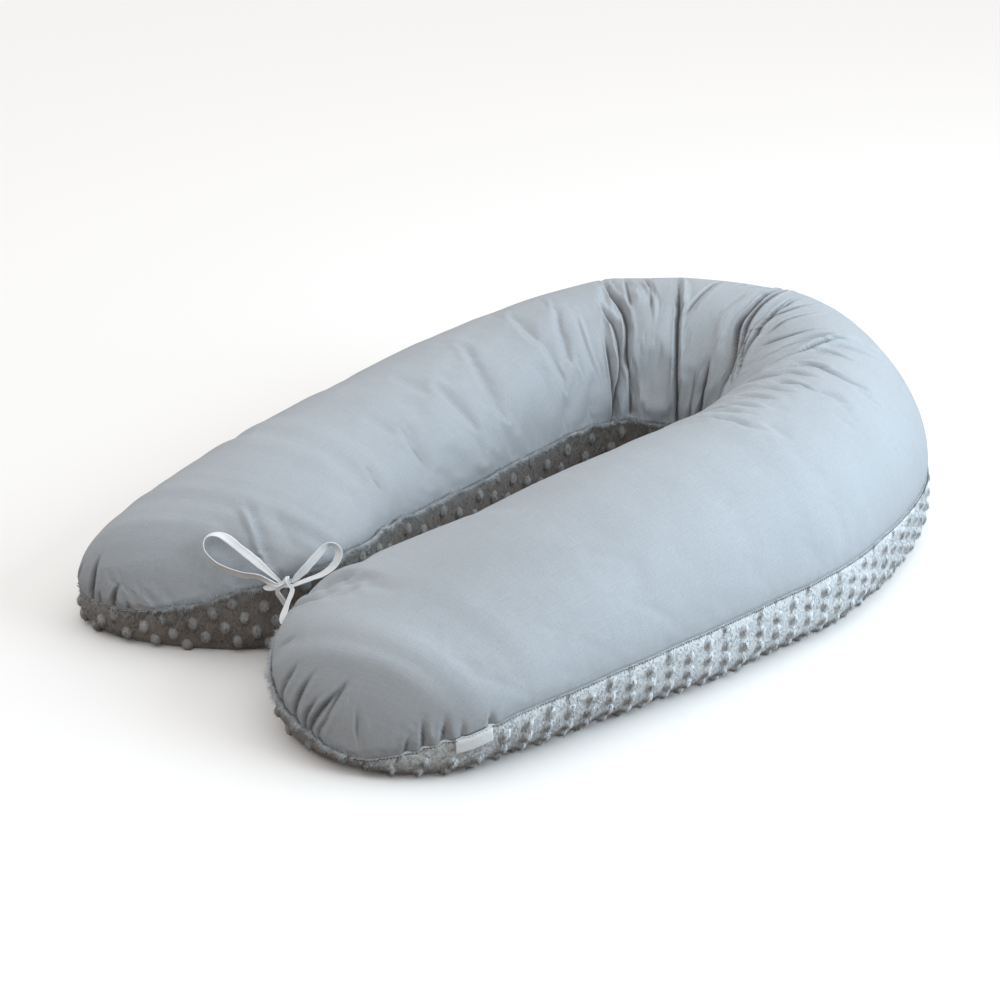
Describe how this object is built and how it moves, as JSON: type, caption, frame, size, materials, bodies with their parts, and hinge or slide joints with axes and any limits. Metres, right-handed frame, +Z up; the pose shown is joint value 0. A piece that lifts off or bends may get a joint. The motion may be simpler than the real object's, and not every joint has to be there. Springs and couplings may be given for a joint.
{
  "type": "body pillow",
  "caption": "Long filled body pillow bent into a horseshoe, with a smooth cotton top, a dimpled plush underside and a tape bow that ties its ends together.",
  "frame": {"origin": "the middle of the pillow's bounding box in plan, on the surface that it rests on", "axes": "+Z up, +Y from the tied ends towards the bend, +X towards the leg that carries the label"},
  "size_m": [0.708, 1, 0.2209],
  "materials": {
    "plush_grey": "short-pile plush with raised dots, soft sheen",
    "cotton_grey": "smooth plain-weave cotton, matt",
    "tape_white": "folded cotton tape, matt white",
    "label_white": "plain woven label, bare"
  },
  "bodies": {
    "root": {"plush_body": "plush_grey", "cotton_top_panel": "cotton_grey", "near_tie_tape": "tape_white", "far_tie_tape": "tape_white", "side_label": "label_white"}
  },
  "joints": []
}
